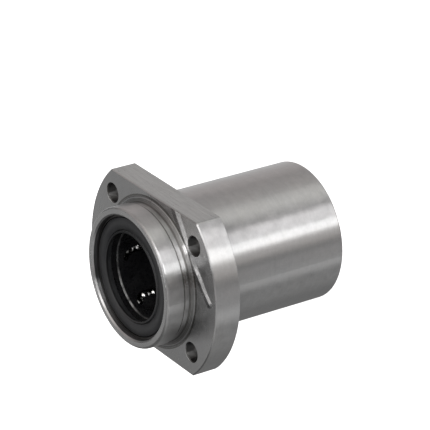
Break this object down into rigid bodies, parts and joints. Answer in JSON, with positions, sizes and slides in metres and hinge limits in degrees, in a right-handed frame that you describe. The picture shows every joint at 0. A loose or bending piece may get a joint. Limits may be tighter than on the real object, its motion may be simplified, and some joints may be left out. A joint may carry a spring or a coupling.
{
  "type": "flanged linear ball bushing",
  "caption": "Sealed linear ball bushing with a flange cut flat on two sides, screw holes in the flange and a short spigot in front of it.",
  "frame": {"origin": "on the shaft axis, in the plane of the flange face that lies against the housing", "axes": "+Z along the shaft axis towards the spigot end, +X along the flange's two flats, +Y square to the flats"},
  "size_m": [0.062, 0.046, 0.059],
  "materials": {
    "sleeve_steel": "ground",
    "ring_steel": "oiled spring steel",
    "ball_steel": "polished",
    "retainer_plastic": "moulded",
    "seal_rubber": "moulded"
  },
  "bodies": {
    "bushing": {"outer_sleeve": "sleeve_steel", "ball_retainer": "retainer_plastic", "front_retaining_ring": "ring_steel", "rear_retaining_ring": "ring_steel", "front_seal_core": "ring_steel", "rear_seal_core": "ring_steel", "front_seal_lip": "seal_rubber", "rear_seal_lip": "seal_rubber"},
    "circuit_1_loaded_row": {"circuit_1_loaded_row": "ball_steel"},
    "circuit_1_front_turn": {"circuit_1_front_turn": "ball_steel"},
    "circuit_1_return_row": {"circuit_1_return_row": "ball_steel"},
    "circuit_1_rear_turn": {"circuit_1_rear_turn": "ball_steel"},
    "circuit_2_loaded_row": {"circuit_2_loaded_row": "ball_steel"},
    "circuit_2_front_turn": {"circuit_2_front_turn": "ball_steel"},
    "circuit_2_return_row": {"circuit_2_return_row": "ball_steel"},
    "circuit_2_rear_turn": {"circuit_2_rear_turn": "ball_steel"},
    "circuit_3_loaded_row": {"circuit_3_loaded_row": "ball_steel"},
    "circuit_3_front_turn": {"circuit_3_front_turn": "ball_steel"},
    "circuit_3_return_row": {"circuit_3_return_row": "ball_steel"},
    "circuit_3_rear_turn": {"circuit_3_rear_turn": "ball_steel"},
    "circuit_4_loaded_row": {"circuit_4_loaded_row": "ball_steel"},
    "circuit_4_front_turn": {"circuit_4_front_turn": "ball_steel"},
    "circuit_4_return_row": {"circuit_4_return_row": "ball_steel"},
    "circuit_4_rear_turn": {"circuit_4_rear_turn": "ball_steel"},
    "circuit_5_loaded_row": {"circuit_5_loaded_row": "ball_steel"},
    "circuit_5_front_turn": {"circuit_5_front_turn": "ball_steel"},
    "circuit_5_return_row": {"circuit_5_return_row": "ball_steel"},
    "circuit_5_rear_turn": {"circuit_5_rear_turn": "ball_steel"},
    "circuit_6_loaded_row": {"circuit_6_loaded_row": "ball_steel"},
    "circuit_6_front_turn": {"circuit_6_front_turn": "ball_steel"},
    "circuit_6_return_row": {"circuit_6_return_row": "ball_steel"},
    "circuit_6_rear_turn": {"circuit_6_rear_turn": "ball_steel"}
  },
  "joints": [
    {"name": "circuit_1_run", "type": "slide", "parent": "bushing", "child": "circuit_1_loaded_row", "axis": [0, 0, 1], "range_m": [-0.00168, 0.00168]},
    {"name": "circuit_1_front_turn_follow", "type": "hinge", "parent": "bushing", "child": "circuit_1_front_turn", "pos_m": [0.00522, 0.01347, -0.00307], "axis": [-0.5592, -0.829, 0], "range_deg": [-30, 30]},
    {"name": "circuit_1_rear_turn_follow", "type": "hinge", "parent": "bushing", "child": "circuit_1_rear_turn", "pos_m": [0.00522, 0.01347, -0.03993], "axis": [-0.5592, -0.829, 0], "range_deg": [-30, 30]},
    {"name": "circuit_1_return_row_follow", "type": "slide", "parent": "bushing", "child": "circuit_1_return_row", "axis": [0, 0, -1], "range_m": [-0.00168, 0.00168]},
    {"name": "circuit_2_run", "type": "slide", "parent": "bushing", "child": "circuit_2_loaded_row", "axis": [0, 0, 1], "range_m": [0, 0.00335]},
    {"name": "circuit_2_front_turn_follow", "type": "hinge", "parent": "bushing", "child": "circuit_2_front_turn", "pos_m": [-0.00905, 0.01126, -0.00307], "axis": [0.4384, -0.8988, 0], "range_deg": [0, 60]},
    {"name": "circuit_2_rear_turn_follow", "type": "hinge", "parent": "bushing", "child": "circuit_2_rear_turn", "pos_m": [-0.00905, 0.01126, -0.03993], "axis": [0.4384, -0.8988, 0], "range_deg": [0, 60]},
    {"name": "circuit_2_return_row_follow", "type": "slide", "parent": "bushing", "child": "circuit_2_return_row", "axis": [0, 0, -1], "range_m": [0, 0.00335]},
    {"name": "circuit_3_run", "type": "slide", "parent": "bushing", "child": "circuit_3_loaded_row", "axis": [0, 0, 1], "range_m": [-0.00168, 0.00168]},
    {"name": "circuit_3_front_turn_follow", "type": "hinge", "parent": "bushing", "child": "circuit_3_front_turn", "pos_m": [-0.01428, -0.00221, -0.00307], "axis": [0.9976, -0.0698, 0], "range_deg": [-30, 30]},
    {"name": "circuit_3_rear_turn_follow", "type": "hinge", "parent": "bushing", "child": "circuit_3_rear_turn", "pos_m": [-0.01428, -0.00221, -0.03993], "axis": [0.9976, -0.0698, 0], "range_deg": [-30, 30]},
    {"name": "circuit_3_return_row_follow", "type": "slide", "parent": "bushing", "child": "circuit_3_return_row", "axis": [0, 0, -1], "range_m": [-0.00168, 0.00168]},
    {"name": "circuit_4_run", "type": "slide", "parent": "bushing", "child": "circuit_4_loaded_row", "axis": [0, 0, 1], "range_m": [0, 0.00335]},
    {"name": "circuit_4_front_turn_follow", "type": "hinge", "parent": "bushing", "child": "circuit_4_front_turn", "pos_m": [-0.00522, -0.01347, -0.00307], "axis": [0.5592, 0.829, 0], "range_deg": [0, 60]},
    {"name": "circuit_4_rear_turn_follow", "type": "hinge", "parent": "bushing", "child": "circuit_4_rear_turn", "pos_m": [-0.00522, -0.01347, -0.03993], "axis": [0.5592, 0.829, 0], "range_deg": [0, 60]},
    {"name": "circuit_4_return_row_follow", "type": "slide", "parent": "bushing", "child": "circuit_4_return_row", "axis": [0, 0, -1], "range_m": [0, 0.00335]},
    {"name": "circuit_5_run", "type": "slide", "parent": "bushing", "child": "circuit_5_loaded_row", "axis": [0, 0, 1], "range_m": [-0.00168, 0.00168]},
    {"name": "circuit_5_front_turn_follow", "type": "hinge", "parent": "bushing", "child": "circuit_5_front_turn", "pos_m": [0.00905, -0.01126, -0.00307], "axis": [-0.4384, 0.8988, 0], "range_deg": [-30, 30]},
    {"name": "circuit_5_rear_turn_follow", "type": "hinge", "parent": "bushing", "child": "circuit_5_rear_turn", "pos_m": [0.00905, -0.01126, -0.03993], "axis": [-0.4384, 0.8988, 0], "range_deg": [-30, 30]},
    {"name": "circuit_5_return_row_follow", "type": "slide", "parent": "bushing", "child": "circuit_5_return_row", "axis": [0, 0, -1], "range_m": [-0.00168, 0.00168]},
    {"name": "circuit_6_run", "type": "slide", "parent": "bushing", "child": "circuit_6_loaded_row", "axis": [0, 0, 1], "range_m": [0, 0.00335]},
    {"name": "circuit_6_front_turn_follow", "type": "hinge", "parent": "bushing", "child": "circuit_6_front_turn", "pos_m": [0.01428, 0.00221, -0.00307], "axis": [-0.9976, 0.0698, 0], "range_deg": [0, 60]},
    {"name": "circuit_6_rear_turn_follow", "type": "hinge", "parent": "bushing", "child": "circuit_6_rear_turn", "pos_m": [0.01428, 0.00221, -0.03993], "axis": [-0.9976, 0.0698, 0], "range_deg": [0, 60]},
    {"name": "circuit_6_return_row_follow", "type": "slide", "parent": "bushing", "child": "circuit_6_return_row", "axis": [0, 0, -1], "range_m": [0, 0.00335]}
  ],
  "couplings": [
    {"joint": "circuit_1_front_turn_follow", "follows": "circuit_1_run", "rad_per_m": 312.5},
    {"joint": "circuit_1_rear_turn_follow", "follows": "circuit_1_run", "rad_per_m": 312.5},
    {"joint": "circuit_1_return_row_follow", "follows": "circuit_1_run", "ratio": 1},
    {"joint": "circuit_2_front_turn_follow", "follows": "circuit_2_run", "rad_per_m": 312.5},
    {"joint": "circuit_2_rear_turn_follow", "follows": "circuit_2_run", "rad_per_m": 312.5},
    {"joint": "circuit_2_return_row_follow", "follows": "circuit_2_run", "ratio": 1},
    {"joint": "circuit_3_front_turn_follow", "follows": "circuit_3_run", "rad_per_m": 312.5},
    {"joint": "circuit_3_rear_turn_follow", "follows": "circuit_3_run", "rad_per_m": 312.5},
    {"joint": "circuit_3_return_row_follow", "follows": "circuit_3_run", "ratio": 1},
    {"joint": "circuit_4_front_turn_follow", "follows": "circuit_4_run", "rad_per_m": 312.5},
    {"joint": "circuit_4_rear_turn_follow", "follows": "circuit_4_run", "rad_per_m": 312.5},
    {"joint": "circuit_4_return_row_follow", "follows": "circuit_4_run", "ratio": 1},
    {"joint": "circuit_5_front_turn_follow", "follows": "circuit_5_run", "rad_per_m": 312.5},
    {"joint": "circuit_5_rear_turn_follow", "follows": "circuit_5_run", "rad_per_m": 312.5},
    {"joint": "circuit_5_return_row_follow", "follows": "circuit_5_run", "ratio": 1},
    {"joint": "circuit_6_front_turn_follow", "follows": "circuit_6_run", "rad_per_m": 312.5},
    {"joint": "circuit_6_rear_turn_follow", "follows": "circuit_6_run", "rad_per_m": 312.5},
    {"joint": "circuit_6_return_row_follow", "follows": "circuit_6_run", "ratio": 1}
  ]
}
